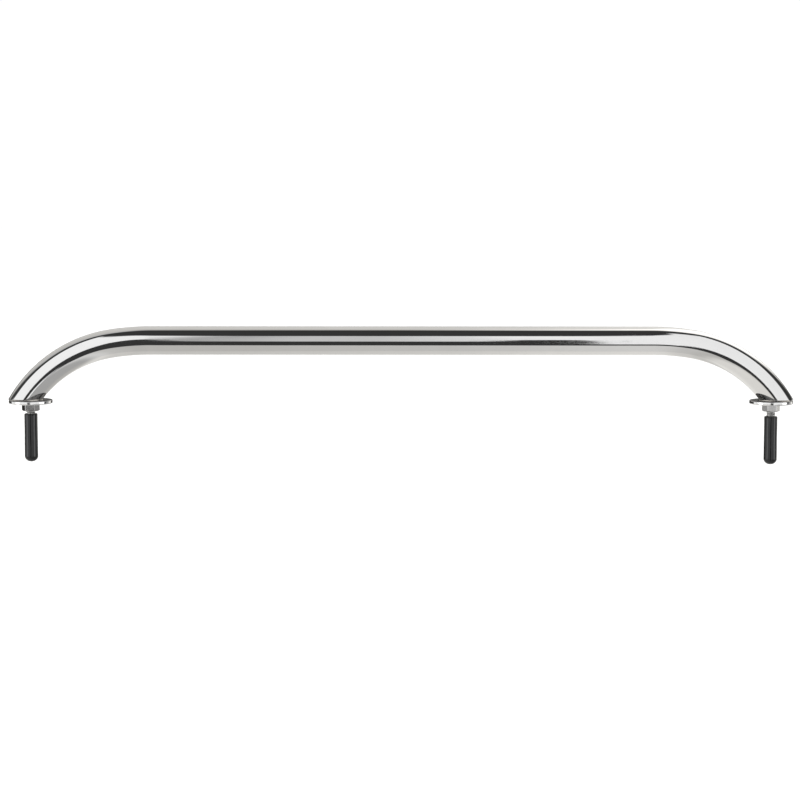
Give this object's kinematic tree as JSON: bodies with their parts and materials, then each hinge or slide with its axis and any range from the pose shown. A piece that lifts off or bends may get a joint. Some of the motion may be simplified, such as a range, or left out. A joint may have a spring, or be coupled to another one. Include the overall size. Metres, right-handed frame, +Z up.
{
  "type": "grab rail",
  "caption": "Stud-mounted boat grab rail: a bent, mirror-polished tube on round base plates, with threaded studs, hex nuts and black vinyl thread caps.",
  "frame": {"origin": "on the deck plane, which is the underside of both base plates, midway between the two studs", "axes": "+X along the bar towards the right foot, +Y away from the viewer, +Z up out of the deck"},
  "size_m": [0.7006, 0.0386, 0.1233],
  "materials": {
    "polished_stainless": "mirror polished",
    "weld_stainless": "dressed and polished weld",
    "stud_stainless": "rolled thread",
    "nut_stainless": "bright machined",
    "black_vinyl": "satin dip-moulded vinyl"
  },
  "bodies": {
    "rail": {"rail_tube": "polished_stainless", "left_base_plate": "polished_stainless", "right_base_plate": "polished_stainless", "left_foot_weld": "weld_stainless", "right_foot_weld": "weld_stainless", "left_stud": "stud_stainless", "right_stud": "stud_stainless", "left_stud_weld": "weld_stainless", "right_stud_weld": "weld_stainless"},
    "left_nut": {"left_hex_nut": "nut_stainless"},
    "left_cap": {"left_thread_cap": "black_vinyl"},
    "right_nut": {"right_hex_nut": "nut_stainless"},
    "right_cap": {"right_thread_cap": "black_vinyl"}
  },
  "joints": [
    {"name": "left_nut_travel", "type": "slide", "parent": "rail", "child": "left_nut", "axis": [0, 0, -1], "range_m": [0, 0.0524]},
    {"name": "left_cap_pull", "type": "slide", "parent": "left_nut", "child": "left_cap", "axis": [0, 0, -1], "range_m": [0, 0.0438]},
    {"name": "right_nut_travel", "type": "slide", "parent": "rail", "child": "right_nut", "axis": [0, 0, -1], "range_m": [0, 0.0524]},
    {"name": "right_cap_pull", "type": "slide", "parent": "right_nut", "child": "right_cap", "axis": [0, 0, -1], "range_m": [0, 0.0416]}
  ]
}
